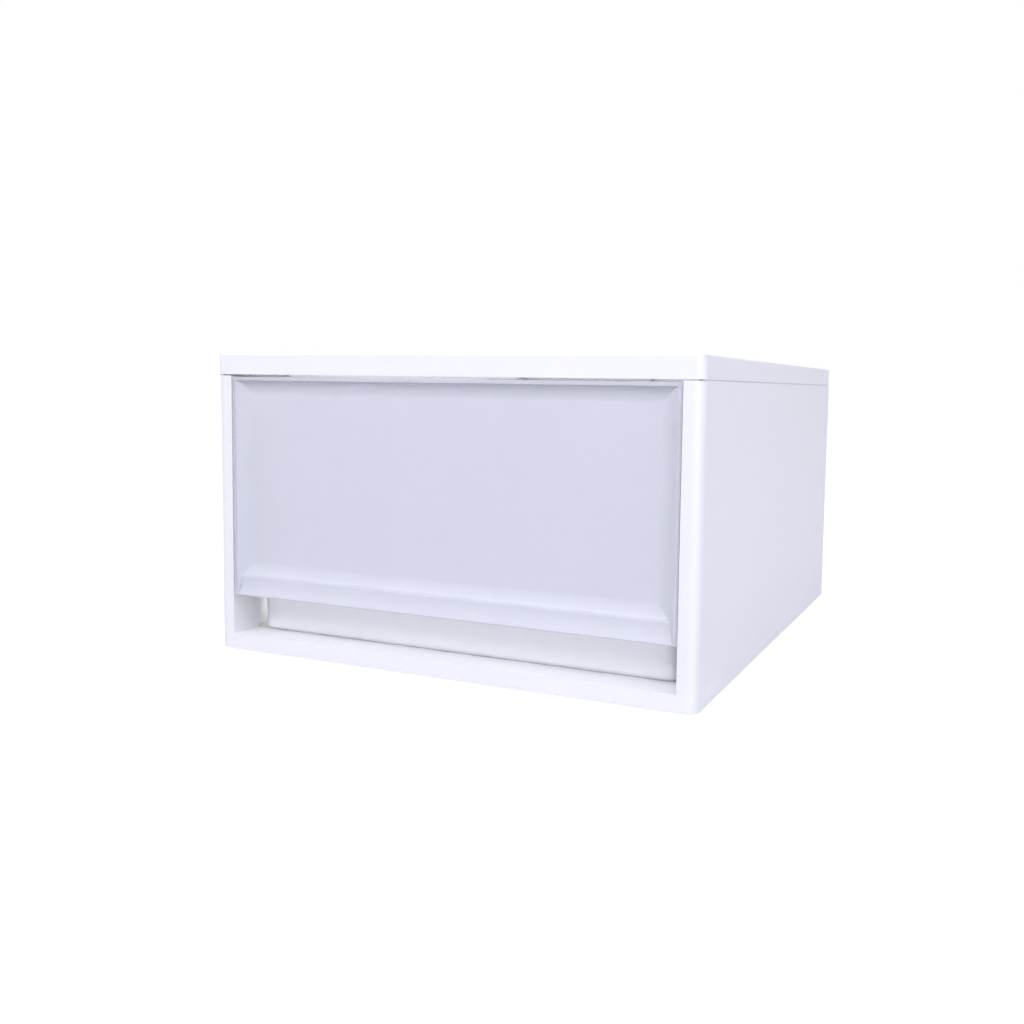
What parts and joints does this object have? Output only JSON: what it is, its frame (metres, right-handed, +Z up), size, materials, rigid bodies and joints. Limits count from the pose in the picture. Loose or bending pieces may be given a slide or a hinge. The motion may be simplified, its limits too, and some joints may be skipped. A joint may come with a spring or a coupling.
{
  "type": "stackable drawer box",
  "caption": "Low white moulded storage box with a clip-on lid panel and one frosted drawer that slides out by a finger gap under its dished front; feet seat in dimples of a box below.",
  "frame": {"origin": "middle of the box's footprint, on the ground under the feet", "axes": "+Z up, the drawer front faces -Y and the drawer pulls out along -Y, +X is to the right of a viewer who faces the front"},
  "size_m": [0.39, 0.445, 0.23],
  "materials": {
    "case_white": "satin moulded polypropylene, opaque white",
    "tub_translucent": "glossy translucent polypropylene",
    "front_frosted": "fine frosted translucent polypropylene",
    "foot_soft": "soft matt elastomer"
  },
  "bodies": {
    "case": {"case_body": "case_white", "top_panel": "case_white", "foot_front_left": "foot_soft", "foot_front_right": "foot_soft", "foot_rear_left": "foot_soft", "foot_rear_right": "foot_soft"},
    "drawer": {"drawer_tub": "tub_translucent", "drawer_front": "front_frosted"}
  },
  "joints": [
    {"name": "drawer_slide", "type": "slide", "parent": "case", "child": "drawer", "axis": [0, -1, 0], "range_m": [0, 0.33]}
  ]
}
